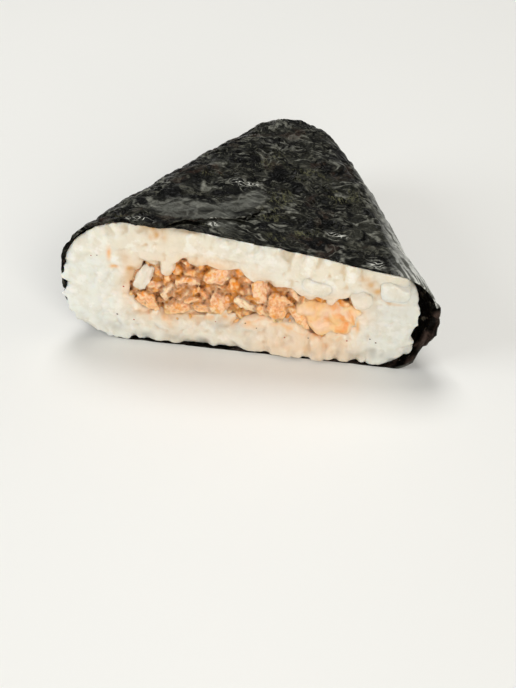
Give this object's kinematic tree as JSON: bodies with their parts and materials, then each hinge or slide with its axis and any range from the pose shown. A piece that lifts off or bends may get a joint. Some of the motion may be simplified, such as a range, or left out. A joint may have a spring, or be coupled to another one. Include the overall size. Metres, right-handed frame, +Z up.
{
  "type": "onigiri rice ball half",
  "caption": "Cut half of a triangular rice ball, wrapped in dried seaweed, with a flaked filling that shows at the cut.",
  "frame": {"origin": "bottom centre of the half's bounding box, on the surface it lies on", "axes": "+Z up, +X along the cut to the thinner end, where the wrap stands off the rice, +Y from the cut to the rounded corner"},
  "size_m": [0.0702, 0.0628, 0.0263],
  "materials": {
    "rice_grain": "moist cooked short-grain rice, slightly translucent",
    "flaked_filling": "moist seasoned flaked meat in an orange sauce",
    "nori_sheet": "thin dried seaweed, near black green, crinkled, half gloss"
  },
  "bodies": {
    "root": {"rice": "rice_grain", "filling": "flaked_filling", "nori": "nori_sheet"}
  },
  "joints": []
}
